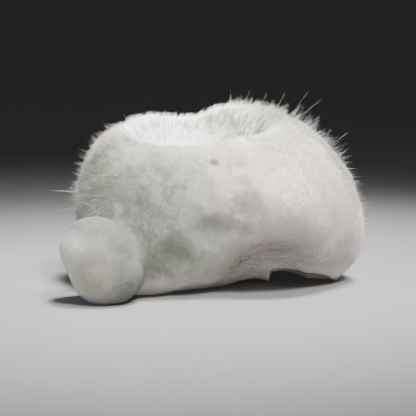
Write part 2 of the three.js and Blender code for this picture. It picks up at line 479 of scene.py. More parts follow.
@dataclass(frozen=True)
class Shape:
    """A mesh in millimetres: its points, its faces, and for each corner of a face a place on a map."""

    points: Array
    faces: Whole
    places: Array | None = None

    def piece(self, name: str, material: bpy.types.Material) -> bpy.types.Object:
        """Makes the Blender object, in metres in the part's frame, which rides on the specimen's body.

        Args:
            name: the piece's name.
            material: the finish that it wears.

        Returns:
            The new object.
        """
        mesh = bpy.data.meshes.new(name)
        corners = self.faces.shape[1]
        mesh.vertices.add(len(self.points))
        mesh.vertices.foreach_set("co", ((self.points - BOX_MIDDLE) / 1000).astype(np.float32).ravel())
        mesh.loops.add(self.faces.size)
        mesh.loops.foreach_set("vertex_index", self.faces.astype(np.int32).ravel())
        mesh.polygons.add(len(self.faces))
        starts = np.arange(0, self.faces.size, corners, dtype=np.int32)
        mesh.polygons.foreach_set("loop_start", starts)
        mesh.polygons.foreach_set("loop_total", np.full(len(starts), corners, np.int32))
        mesh.update(calc_edges=True)
        mesh.polygons.foreach_set("use_smooth", np.ones(len(starts), bool))
        if self.places is not None:
            flat = self.places.astype(np.float32).ravel()
            mesh.uv_layers.new(name="OFBake").uv.foreach_set("vector", flat)
        mesh.materials.append(material)
        made = bpy.data.objects.new(name, mesh)
        bpy.context.scene.collection.objects.link(made)
        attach(made, BODY)
        LOG.info("%s: %d faces", name, len(self.faces))
        return made


@dataclass(frozen=True)
class SurfaceNet:
    """Turns a distance field into a closed mesh of four-sided faces, one point in each crossed cell."""

    cell: float

    def shape(self, distance: Distance, low: Triple, high: Triple) -> Shape:
        """The mesh of the field's zero surface.

        Args:
            distance: the distance field.
            low: the lowest corner of the box to search, outside the form.
            high: the highest corner.

        Returns:
            The closed mesh.
        """
        axes = [np.arange(a, b + self.cell, self.cell) for a, b in zip(low, high)]
        levels = []
        for x in axes[0]:
            y, z = np.meshgrid(axes[1], axes[2], indexing="ij")
            slab = np.stack([np.full(y.size, x), y.ravel(), z.ravel()], -1)
            levels.append(distance(slab).reshape(y.shape))
        grid = np.array(levels)
        inside = grid < 0
        offsets = np.array([[(i >> 2) & 1, (i >> 1) & 1, i & 1] for i in range(8)])
        held = sum(self._shifted(inside, offset).astype(int) for offset in offsets)
        cells = np.argwhere((held > 0) & (held < 8))
        number = np.full(held.shape, -1)
        number[tuple(cells.T)] = np.arange(len(cells))
        corner = np.array([axis[0] for axis in axes])
        points = corner + (cells + self._crossings(grid, cells, offsets)) * self.cell
        for _ in range(2):
            points = points - outward(distance, points) * distance(points)[:, None]
        points[:, 2] = np.maximum(points[:, 2], 0)
        return Shape(points, self._faces(inside, number))

    @staticmethod
    def _shifted(grid: NDArray, offset: Whole) -> NDArray:
        """The grid's values at one corner of every cell."""
        return grid[tuple(slice(o, n - 1 + o) for o, n in zip(offset, grid.shape))]

    @staticmethod
    def _crossings(grid: Array, cells: Whole, offsets: Whole) -> Array:
        """Where the surface runs in each cell: the mean of the places where it crosses the cell's edges.

        Args:
            grid: the field's values at the grid's points.
            cells: the lowest corner of each crossed cell.
            offsets: a cell's eight corners.

        Returns:
            A place in each cell, with the cell's side as the unit.
        """
        corner = [grid[tuple((cells + offset).T)] for offset in offsets]
        total, count = np.zeros((len(cells), 3)), np.zeros(len(cells))
        for a in range(8):
            for b in range(a + 1, 8):
                if np.abs(offsets[a] - offsets[b]).sum() != 1:
                    continue
                crossed = (corner[a] < 0) != (corner[b] < 0)
                gap = np.where(crossed, corner[a] - corner[b], 1)
                share = np.where(crossed, corner[a] / gap, 0)[:, None]
                total += crossed[:, None] * (offsets[a] + share * (offsets[b] - offsets[a]))
                count += crossed
        return total / count[:, None]

    @staticmethod
    def _faces(inside: NDArray, number: Whole) -> Whole:
        """One face round each grid edge that the surface crosses, turned to face out.

        Args:
            inside: which of the grid's points are inside the form.
            number: the number of each crossed cell's point.

        Returns:
            The faces, by the numbers of their four points.
        """
        faces = []
        for axis in range(3):
            one, two = (axis + 1) % 3, (axis + 2) % 3
            ahead = np.take(inside, range(1, inside.shape[axis]), axis)
            here = np.take(inside, range(inside.shape[axis] - 1), axis)
            edges = np.argwhere(here != ahead)
            starts_inside = here[tuple(edges.T)]
            step_one, step_two = np.eye(3, dtype=int)[one], np.eye(3, dtype=int)[two]
            ring = [edges - step_one - step_two, edges - step_two, edges, edges - step_one]
            ids = np.stack([number[tuple(place.T)] for place in ring], 1)
            faces.append(np.where(starts_inside[:, None], ids, ids[:, ::-1]))
        return np.concatenate(faces)


@dataclass(frozen=True)
class Fibres:
    """Slender closed needles, each by its root, its tip, and its radius at the root."""

    roots: Array
    tips: Array
    radii: Array

    def where(self, keep: NDArray) -> Fibres:
        """The fibres that `keep` marks or lists."""
        return Fibres(self.roots[keep], self.tips[keep], self.radii[keep])

    def frames(self) -> tuple[Array, Array]:
        """Two directions square to each fibre and to each other."""
        along = unit(self.tips - self.roots)
        leaning = np.abs(along[:, 2:3]) < 0.9
        aside = unit(np.cross(along, np.where(leaning, (0.0, 0.0, 1.0), (1.0, 0.0, 0.0))))
        return aside, np.cross(along, aside)

    def shape(self, bend: float = 0.0) -> Shape:
        """The fibres' mesh: three sides, and with a bend a second ring halfway.

        Args:
            bend: how far the middle of a fibre lies off its line, as a share of its length.

        Returns:
            All the fibres as one mesh, with a map on which each lies by its root's place.
        """
        first, second = self.frames()
        along = self.tips - self.roots
        rings = [(0.0, 1.0)] if bend == 0 else [(0.0, 1.0), (0.38, 0.8), (0.72, 0.5)]
        swing = bend * lengths(along) * (2 * scatter(np.arange(len(along)), 9) - 1)
        points = []
        for share, width in rings:
            middle = self.roots + along * share + first * (4 * swing * share * (1 - share))[:, None]
            for side in range(3):
                turn = 2 * math.pi * side / 3
                reach = (self.radii * width)[:, None]
                points.append(middle + (first * math.cos(turn) + second * math.sin(turn)) * reach)
        points.append(self.tips)
        corners = len(points)
        faces = [(2, 1, 0)]
        for ring in range(len(rings) - 1):
            for side in range(3):
                a, b = 3 * ring + side, 3 * ring + (side + 1) % 3
                faces += [(a, b, b + 3), (a, b + 3, a + 3)]
        last = corners - 4
        faces += [(last + side, last + (side + 1) % 3, corners - 1) for side in range(3)]
        pattern = np.array(faces)
        numbers = (np.arange(len(along)) * corners)[:, None, None] + pattern
        return Shape(
            np.stack(points, 1).reshape(-1, 3),
            numbers.reshape(-1, 3),
            self._places(pattern, corners),
        )

    def _places(self, pattern: Whole, corners: int) -> Array:
        """Spreads the fibres on a map by azimuth and height, a few pixels to each.

        Args:
            pattern: one fibre's faces, by the numbers of its own points.
            corners: how many points a fibre has.

        Returns:
            The place on the map of each corner of each face.
        """
        rays = unit(self.roots - Form().growth_centre)
        turn = np.arctan2(rays[:, 1], rays[:, 0])
        flat = np.stack([turn, rays[:, 2]], -1)
        low, span = flat.min(0), np.ptp(flat, axis=0)
        middle = 0.01 + 0.98 * (flat - low) / span
        angle = np.arange(corners) * 2.4
        spot = np.stack([np.cos(angle), np.sin(angle)], -1) * 0.0016
        return (middle[:, None, None] + spot[pattern]).reshape(-1, 2)


# ---------------------------------------------------------------- shader nodes


class Term:
    """A socket that takes part in Python sums: each operator adds the Math node that works it out."""

    def __init__(self, recipe: Recipe, socket: bpy.types.NodeSocket) -> None:
        """Wraps a node's output socket."""
        self.recipe = recipe
        self.socket = socket

    def _math(self, operation: str, *values: Term | float) -> Term:
        """The result of one Math node."""
        node = self.recipe.node("ShaderNodeMath", {"operation": operation}, dict(enumerate(values)))
        return Term(self.recipe, node.outputs[0])

    def __add__(self, other: Term | float) -> Term:
        """This plus the other."""
        return self._math("ADD", self, other)

    def __radd__(self, other: float) -> Term:
        """The other plus this."""
        return self._math("ADD", other, self)

    def __sub__(self, other: Term | float) -> Term:
        """This less the other."""
        return self._math("SUBTRACT", self, other)

    def __rsub__(self, other: float) -> Term:
        """The other less this."""
        return self._math("SUBTRACT", other, self)

    def __mul__(self, other: Term | float) -> Term:
        """This times the other."""
        return self._math("MULTIPLY", self, other)

    def __rmul__(self, other: float) -> Term:
        """The other times this."""
        return self._math("MULTIPLY", other, self)

    def least(self, other: Term | float) -> Term:
        """The lesser of this and the other."""
        return self._math("MINIMUM", self, other)

    def smooth(self, low: float, high: float) -> Term:
        """A share that rises smoothly with this.

        Args:
            low: where the share is 0.
            high: where the share is 1, which may be the smaller of the two.

        Returns:
            The share.
        """
        settings = {"interpolation_type": "SMOOTHSTEP"}
        values: dict[int | str, Term | float] = {"Value": self, "From Min": low, "From Max": high}
        if low > high:
            values |= {"From Min": high, "From Max": low, "To Min": 1.0, "To Max": 0.0}
        return Term(self.recipe, self.recipe.node("ShaderNodeMapRange", settings, values).outputs[0])


Value = Term | float | Sequence[float]


class Recipe:
    """A material under construction."""

    def __init__(self, name: str) -> None:
        """Starts a material with an empty node tree."""
        self.material = bpy.data.materials.new(name)
        self.material.use_nodes = True
        self.tree = self.material.node_tree
        self.tree.nodes.clear()

    def node(
        self,
        kind: str,
        settings: Mapping[str, object] | None = None,
        values: Mapping[int | str, Value] | None = None,
    ) -> bpy.types.Node:
        """Adds a node.

        Args:
            kind: the node's type.
            settings: the node's own properties, which are set first.
            values: a number, colour, vector or link for each named or numbered input socket.

        Returns:
            The new node.
        """
        made = self.tree.nodes.new(kind)
        for key, setting in (settings or {}).items():
            setattr(made, key, setting)
        for key, value in (values or {}).items():
            socket = made.inputs[key]
            if isinstance(value, Term):
                self.tree.links.new(value.socket, socket)
            elif isinstance(value, (int, float)):
                socket.default_value = value
            else:
                size = len(socket.default_value)
                socket.default_value = (*value, 1.0)[:size]
        return made

    def place(self) -> Term:
        """The shaded point in millimetres, as the form counts them."""
        spot = Term(self, self.node("ShaderNodeTexCoord").outputs["Object"])
        settings = {"operation": "MULTIPLY_ADD"}
        return self._vector(settings, {0: spot, 1: (1000.0,) * 3, 2: BOX_MIDDLE})

    def _vector(self, settings: Mapping[str, object], values: Mapping[int | str, Value]) -> Term:
        """The vector that a Vector Math node gives."""
        return Term(self, self.node("ShaderNodeVectorMath", settings, values).outputs["Vector"])

    def rays(self, place: Term, centre: Triple) -> Term:
        """The direction from a centre to the shaded point."""
        line = self._vector({"operation": "SUBTRACT"}, {0: place, 1: centre})
        return self._vector({"operation": "NORMALIZE"}, {0: line})

    def away(self, place: Term, centre: Triple) -> Term:
        """How far the shaded point is from a centre."""
        node = self.node("ShaderNodeVectorMath", {"operation": "DISTANCE"}, {0: place, 1: centre})
        return Term(self, node.outputs["Value"])

    def level(self, place: Term, lobes: Sequence[Lobe]) -> Term:
        """How far out the shaded point is in the nearest of some lobes.

        Args:
            place: the shaded point in millimetres.
            lobes: the lobes.

        Returns:
            0 at the nearest lobe's centre, 1 on its surface.
        """
        levels = []
        for lobe in lobes:
            line = self._vector({"operation": "SUBTRACT"}, {0: place, 1: lobe.centre})
            line = self._vector({"operation": "DIVIDE"}, {0: line, 1: lobe.radii})
            levels.append(self.away(line, (0.0, 0.0, 0.0)))
        return reduce(Term.least, levels)

    def part(self, vector: Term, axis: str) -> Term:
        """One coordinate of a vector, by the name of its axis."""
        return Term(self, self.node("ShaderNodeSeparateXYZ", None, {0: vector}).outputs[axis])

    def noise(self, vector: Term, scale: float, detail: float = 2.0, distortion: float = 0.0) -> Term:
        """Noise from 0 to 1.

        Args:
            vector: where it is read.
            scale: how many of its grains lie along one unit of the vector.
            detail: how many finer grains are laid over them.
            distortion: how far its grains are pulled out of shape.

        Returns:
            The noise's value.
        """
        values = {"Vector": vector, "Scale": scale, "Detail": detail, "Distortion": distortion}
        return Term(self, self.node("ShaderNodeTexNoise", None, values).outputs[0])

    def mix(self, share: Term | float, first: Term | Colour, second: Term | Colour) -> Term:
        """Two colours mixed.

        Args:
            share: how much of the second colour there is.
            first: the colour at share 0.
            second: the colour at share 1.

        Returns:
            The mixed colour.
        """
        node = self.node("ShaderNodeMix", {"data_type": "RGBA"}, {0: share, 6: first, 7: second})
        return Term(self, node.outputs[2])

    def finish(self, values: Mapping[int | str, Value]) -> bpy.types.Material:
        """Ends the material with its surface shader, whose sockets take these values."""
        surface = self.node("ShaderNodeBsdfPrincipled", None, values)
        self.node("ShaderNodeOutputMaterial", None, {"Surface": Term(self, surface.outputs[0])})
        return self.material


# ---------------------------------------------------------------- finishes


@dataclass(frozen=True)
class Fade:
    """A share that grows from 0 where a value is `none` to its full strength where it is `full`."""

    none: float
    full: float
    strength: float = 1.0

    def of(self, value: Term) -> Term:
        """The share that goes with a value at the shaded point."""
        return value.smooth(self.none, self.full) * self.strength


@dataclass(frozen=True)
class Stain:
    """A soft round patch of another colour, which is full near its middle and fades further out."""

    middle: Triple
    full: float
    faded: float
    strength: float

    def share(self, recipe: Recipe, place: Term, ragged: Term | float = 0.0) -> Term:
        """How much of the patch's colour shows at the shaded point.

        Args:
            recipe: the material under construction.
            place: the shaded point in millimetres.
            ragged: how far the patch's edge is moved there, in millimetres.

        Returns:
            The share.
        """
        return Fade(self.faded, self.full, self.strength).of(recipe.away(place, self.middle) + ragged)


@dataclass(frozen=True)
class FibreColours:
    """The colours of the specimen's fibres, by where they grow, with patches of painted shade and
    painted light laid over them.
    """

    form: Form = field(default_factory=Form)
    warm: Colour = (0.652, 0.596, 0.56)
    # Grey-green of the left front: partly the stone's own tint, partly painted shade.
    cool: Colour = (0.405, 0.437, 0.365)
    shade: Colour = (0.145, 0.155, 0.13)
    lilac: Colour = (0.375, 0.33, 0.325)
    moss: Colour = (0.155, 0.187, 0.122)
    ash: Colour = (0.31, 0.305, 0.297)
    umber: Colour = (0.30, 0.25, 0.22)
    snow: Colour = (0.97, 0.96, 0.935)
    silk: Colour = (0.82, 0.815, 0.71)
    pearl: Colour = (0.365, 0.378, 0.36)
    gleam: Colour = (0.60, 0.61, 0.58)
    dusk: Colour = (0.11, 0.113, 0.105)
    straw: Colour = (0.27, 0.235, 0.15)
    cool_side: Fade = Fade(9.0, 1.2)
    cool_side_lean: float = 0.38
    cool_front: Fade = Fade(6.5, 0.5)
    flecks: Fade = Fade(0.0, 0.3, 0.22)
    # Painted light: the lowest few millimetres are lightened toward the warm colour, as if lit from
    # below.
    painted_lit_hem: Fade = Fade(3.4, 1.0, 0.7)
    in_crater: Fade = Fade(1.09, 1.0)
    silky_side: Fade = Fade(-2.0, 3.0)
    crest_shade_side: Fade = Fade(2.5, 8.0, 0.85)
    crest_shade_height: Fade = Fade(19.9, 21.8)
    on_small_ball: Fade = Fade(1.14, 1.04)
    # Painted shade on the small ball: darker towards the main ball and on its top.
    ball_shaded_side: Fade = Fade(-15.0, -9.5)
    ball_shaded_top: Fade = Fade(7.0, 9.5, 0.9)
    # A painted highlight low on the small ball's far left.
    gleam_side: Fade = Fade(-13.8, -16.5, 0.8)
    gleam_height: Fade = Fade(9.6, 7.4)
    ball_tinge: Stain = Stain((-14.4, -15.2, 3.4), 0.6, 4.4, 0.6)
    # Umber under the undercut: partly the broken face's brownish tone, partly painted shade under the
    # overhang.
    underside_tone_and_shade: Stain = Stain((5.0, -7.0, 3.4), 1.5, 6.5, 0.55)
    # Greenish spots; their dark moss colour also carries painted shade, most on the left shoulder.
    green_spots_and_shade: tuple[Stain, ...] = (
        Stain((-14.2, -1.4, 15.2), 0.8, 4.2, 0.65),
        Stain((-14.6, -2.0, 12.4), 0.4, 3.0, 0.15),
        Stain((-4.5, -10.0, 4.9), 0.3, 3.4, 0.06),
        Stain((-6.6, -9.6, 3.4), 0.3, 3.0, 0.12),
        Stain((-5.4, -7.1, 14.4), 0.1, 1.2, 0.2),
    )
    grey_shadings: tuple[Stain, ...] = (
        # Painted shade round the pinhole, and a grey patch below it.
        Stain((0.6, -7.4, 16.8), 0.5, 1.3, 0.9),
        Stain((-1.2, -7.6, 15.2), 0.2, 1.6, 0.3),
        # Painted shade along the furrow across the front.
        Stain((-0.4, -9.6, 8.4), 0.6, 2.2, 0.8),
        Stain((1.5, -9.1, 8.9), 0.6, 2.0, 0.75),
        Stain((3.9, -9.4, 9.8), 0.8, 3.0, 0.8),
        Stain((1.3, -8.7, 7.4), 0.8, 3.6, 0.35),
    )
    shadings: tuple[Stain, ...] = (
        # The left shoulder.
        Stain((-14.8, 0.0, 17.0), 1.5, 5.0, 0.6),
        Stain((-13.8, 3.0, 19.3), 1.0, 4.5, 0.75),
        Stain((-16.8, 2.0, 15.8), 1.5, 5.0, 0.8),
        Stain((-15.6, -0.5, 13.2), 1.0, 4.2, 0.6),
        Stain((-14.0, -4.0, 13.5), 1.0, 3.5, 0.4),
        Stain((-13.0, -5.0, 13.6), 1.0, 5.0, 0.4),
        Stain((-10.5, -6.0, 14.0), 2.0, 7.0, 0.42),
        # The left front, down to the base.
        Stain((-6.4, -8.8, 12.4), 1.5, 5.5, 0.45),
        Stain((-5.3, -9.8, 11.2), 0.6, 3.2, 0.4),
        Stain((-5.5, -9.6, 10.6), 0.8, 3.2, 0.3),
        Stain((-4.0, -9.5, 8.0), 1.5, 8.0, 0.35),
        Stain((-2.6, -10.0, 7.2), 0.8, 3.4, 0.45),
        Stain((-7.5, -9.5, 2.6), 1.5, 5.0, 0.65),
        # The neck behind the small ball.
        Stain((-9.0, -9.5, 4.5), 1.0, 6.0, 0.8),
        Stain((-9.6, -9.6, 8.8), 1.5, 6.5, 0.9),
        Stain((-8.0, -8.6, 6.5), 1.5, 6.5, 0.7),
        Stain((-10.2, -9.8, 8.6), 0.8, 3.0, 0.5),
        Stain((-11.0, -9.0, 5.6), 0.8, 3.0, 0.5),
        # The furrow across the front, and the hollow below it.
        Stain((0.0, -9.2, 6.8), 0.8, 3.5, 0.35),
        Stain((0.3, -8.9, 8.3), 0.6, 2.4, 0.5),
        Stain((3.9, -9.4, 10.0), 0.6, 2.4, 0.4),
        # The crest round the crater's right end.
        Stain((8.7, 8.0, 22.6), 3.0, 7.0, 0.8),
        Stain((8.5, -1.5, 20.0), 3.0, 7.0, 0.42),
        Stain((6.5, -0.5, 20.8), 1.5, 4.0, 0.35),
        Stain((2.5, -3.0, 20.2), 1.0, 3.6, 0.4),
        # The right side, from the shoulder down.
        Stain((14.5, 4.0, 19.5), 1.5, 5.5, 0.7),
        Stain((17.5, 2.0, 16.5), 1.5, 5.0, 0.75),
        Stain((14.0, -4.5, 13.5), 2.0, 6.0, 0.2),
        Stain((19.0, 1.5, 12.5), 1.5, 5.0, 0.5),
        Stain((9.0, -6.4, 3.6), 0.8, 3.6, 0.3),
    )
    lilac_shadings: tuple[Stain, ...] = (
        Stain((9.5, -8.0, 6.0), 1.5, 8.0, 0.75),
        Stain((11.5, -5.0, 3.6), 1.0, 5.0, 0.6),
        Stain((16.0, -1.0, 3.2), 1.5, 6.5, 0.75),
        Stain((15.0, -2.0, 12.5), 2.0, 9.0, 0.35),
    )
    arch_shadings: tuple[Stain, ...] = (Stain((10.8, 5.0, 1.0), 3.0, 6.5, 0.85),)
    crater_shadings: tuple[Stain, ...] = (
        Stain((7.5, 4.8, 20.8), 1.2, 3.4, 0.7),
        Stain((3.4, 8.8, 17.9), 1.5, 4.0, 0.4),
        Stain((6.6, 4.6, 18.6), 1.5, 4.0, 0.4),
    )

    def over(self, recipe: Recipe, place: Term) -> Term:
        """The fibres' colour at the shaded point, wherever that is on the specimen.

        Args:
            recipe: the material under construction.
            place: the shaded point in millimetres.

        Returns:
            The colour.
        """
        x, y, z = (recipe.part(place, axis) for axis in "XYZ")
        cloud = recipe.noise(place, 0.16, 2.0, 0.4) - 0.5
        fleck = recipe.noise(place, 0.9, 3.0, 0.3) - 0.5
        # The left front turns grey-green: partly its own tint, partly painted shade on the side away
        # from the key light.
        side = self.cool_side.of(x + self.cool_side_lean * z + cloud * 7.0)
        front = self.cool_front.of(y + cloud * 6.0)
        colour = recipe.mix(side * front, self.warm, self.cool)
        colour = self._stained(recipe, place, colour, self.shadings, self.shade)
        colour = self._stained(recipe, place, colour, self.lilac_shadings, self.lilac)
        colour = self._stained(recipe, place, colour, self.green_spots_and_shade, self.moss)
        # Painted shade in the pinhole and along the furrow.
        colour = self._stained(recipe, place, colour, self.grey_shadings, self.ash)
        colour = recipe.mix(self.flecks.of(fleck), colour, self.ash)
        # Umber under the undercut: part brownish tone, part painted shade.
        torn = (recipe.noise(place, 0.35, 2.0) - 0.5) * 3.0
        colour = recipe.mix(self.underside_tone_and_shade.share(recipe, place, torn), colour, self.umber)
        colour = self._stained(recipe, place, colour, self.arch_shadings, self.dusk)
        # Painted light from below on the lowest few millimetres.
        colour = recipe.mix(self.painted_lit_hem.of(z), colour, self.warm)
        hollow = self.in_crater.of(recipe.level(place, self.form.crater_lobes.lobes))
        colour = recipe.mix(hollow, colour, self.inside(recipe, place))
        near = self.on_small_ball.of(recipe.level(place, self.form.small_lobes.lobes))
        return recipe.mix(near, colour, self._small_ball(recipe, place, fleck))

    def inside(self, recipe: Recipe, place: Term) -> Term:
        """The colour of the crater's silky fibres: white at its left, faintly green at its right, with
        painted shade on its walls and right crest.

        Args:
            recipe: the material under construction.
            place: the shaded point in millimetres.

        Returns:
            The colour.
        """
        across, height = recipe.part(place, "X"), recipe.part(place, "Z")
        drift = (recipe.noise(place, 0.16, 3.0, 0.4) - 0.5) * 6.0
        colour = recipe.mix(self.silky_side.of(across + drift), self.snow, self.silk)
        colour = self._stained(recipe, place, colour, self.crater_shadings, self.shade)
        # Painted shade on the crest round the crater's right end.
        crest = self.crest_shade_side.of(across) * self.crest_shade_height.of(height)
        return recipe.mix(crest, colour, self.shade)

    def _small_ball(self, recipe: Recipe, place: Term, fleck: Term) -> Term:
        """The small ball's colour: painted shade on top and towards the main ball, a painted highlight
        low on its far left, straw low on its front.

        Args:
            recipe: the material under construction.
            place: the shaded point in millimetres.
            fleck: the value that makes the change of colour uneven.

        Returns:
            The colour.
        """
        x, z = recipe.part(place, "X"), recipe.part(place, "Z")
        # Painted shade towards the main ball and on top, then a painted highlight low on the far left.
        colour = recipe.mix(self.ball_shaded_side.of(x + fleck * 3.0), self.pearl, self.dusk)
        colour = recipe.mix(self.ball_shaded_top.of(z), colour, self.dusk)
        colour = recipe.mix(self.gleam_side.of(x) * self.gleam_height.of(z), colour, self.gleam)
        return recipe.mix(self.ball_tinge.share(recipe, place), colour, self.straw)

    @staticmethod
    def _stained(
        recipe: Recipe,
        place: Term,
        colour: Term,
        stains: tuple[Stain, ...],
        stain_colour: Colour,
    ) -> Term:
        """Lays patches with ragged edges over a colour.

        Args:
            recipe: the material under construction.
            place: the shaded point in millimetres.
            colour: the colour below.
            stains: the patches.
            stain_colour: the patches' own colour.

        Returns:
            The colour with its patches.
        """
        ragged = (recipe.noise(place, 0.8, 2.0) - 0.5) * 0.6
        for stain in stains:
            share = stain.share(recipe, place, ragged * stain.faded)
            colour = recipe.mix(share, colour, stain_colour)
        return colour


@dataclass(frozen=True)
class FeltFinish:
    """The skin's finish: matted fibre ends, which let some light in."""

    colours: FibreColours = field(default_factory=FibreColours)
    roughness: float = 0.9
    bump: float = 0.5
    glow: float = 0.0012
    threads: Fade = Fade(0.62, 0.3, 0.15)

    def material(self) -> bpy.types.Material:
        """Makes the material."""
        recipe = Recipe("okenite felt")
        place = recipe.place()
        grain = recipe.noise(place, 5.0, 4.0, 0.6)
        thread = recipe.noise(recipe.rays(place, self.colours.form.crater_fan.centre), 34.0, 3.0)
        relief = {"Strength": self.bump, "Distance": 0.0001, "Height": grain * 0.5 + thread}
        bump = recipe.node("ShaderNodeBump", None, relief)
        colour = self.colours.over(recipe, place)
        return recipe.finish(
            {
                "Base Color": recipe.mix(self.threads.of(thread), colour, self.colours.ash),
                "Roughness": self.roughness,
                "Normal": Term(recipe, bump.outputs[0]),
                "Subsurface Weight": 0.6,
                "Subsurface Radius": (1.0, 1.0, 0.9),
                "Subsurface Scale": self.glow,
                "Specular IOR Level": 0.2,
            }
        )


@dataclass(frozen=True)
class FibreFinish:
    """The finish of standing fibres: the skin's colours, each fibre a little lighter or darker."""

    name: str
    colours: FibreColours = field(default_factory=FibreColours)
    white: Colour = (0.97, 0.97, 0.96)
    lightness: float = 0.05
    roughness: float = 0.55
    change: float = 0.2
    fan: Fan | None = None
    streaks: Colour = (0.55, 0.60, 0.49)
    fine_streaks: Fade = Fade(0.55, 0.35, 0.35)
    broad_streaks: Fade = Fade(0.58, 0.4, 0.3)
    streaked_side: Fade = Fade(-5.0, 3.0, 0.85)
    least_streaked: float = 0.15
    silky: bool = False

    def material(self) -> bpy.types.Material:
        """Makes the material."""
        recipe = Recipe(self.name)
        place = recipe.place()
        own = self.colours.inside if self.silky else self.colours.over
        colour = recipe.mix(self.lightness, own(recipe, place), self.white)
        each = recipe.noise(place, 9.0, 1.0)
        colour = recipe.mix(each.smooth(0.65, 0.3) * self.change, colour, self.colours.ash)
        if self.fan is not None:
            rays = recipe.rays(place, self.fan.centre)
            fine = self.fine_streaks.of(recipe.noise(rays, 26.0, 2.0))
            broad = self.broad_streaks.of(recipe.noise(rays, 7.0, 2.0))
            share = self.streaked_side.of(recipe.part(place, "X")) + self.least_streaked
            colour = recipe.mix(fine * share, colour, self.streaks)
            colour = recipe.mix(broad * share, colour, self.streaks)
        return recipe.finish(
            {"Base Color": colour, "Roughness": self.roughness, "Specular IOR Level": 0.35}
        )


# ---------------------------------------------------------------- sub-assemblies


@dataclass
class FeltedSkin:
    """The specimen without its standing fibres: one closed mesh, which stands for the CAD solid."""

    form: Form
    cell: float = 0.27
    low: Triple = (-21.0, -17.4, -0.8)
    high: Triple = (22.6, 20.4, 26.4)
    shape: Shape = field(init=False)

    def build(self) -> bpy.types.Object:
        """Builds and dresses the skin."""
        self.shape = SurfaceNet(self.cell).shape(self.form.skin, self.low, self.high)
        made = self.shape.piece("felted_skin", FeltFinish().material())
        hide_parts(NODE)
        return made

    def seeds(self, regions: tuple[Region, ...], count: int, seed: int) -> Array:
        """Random places spread evenly over some regions of the skin.

        Args:
            regions: the regions.
            count: how many places there are.
            seed: what makes them the same on every run.

        Returns:
            The places.
        """
        chance = np.random.default_rng(seed)
        a, b, c, d = (self.shape.points[self.shape.faces[:, i]] for i in range(4))
        here = np.isin(self.form.region((a + b + c + d) / 4), [region.value for region in regions])
        a, b, c, d = a[here], b[here], c[here], d[here]
        area = lengths(np.cross(c - a, d - b))
        pick = chance.choice(len(area), count, p=area / area.sum())
        u, v = chance.random((2, count, 1))
        return (a[pick] * (1 - u) + b[pick] * u) * (1 - v) + (d[pick] * (1 - u) + c[pick] * u) * v


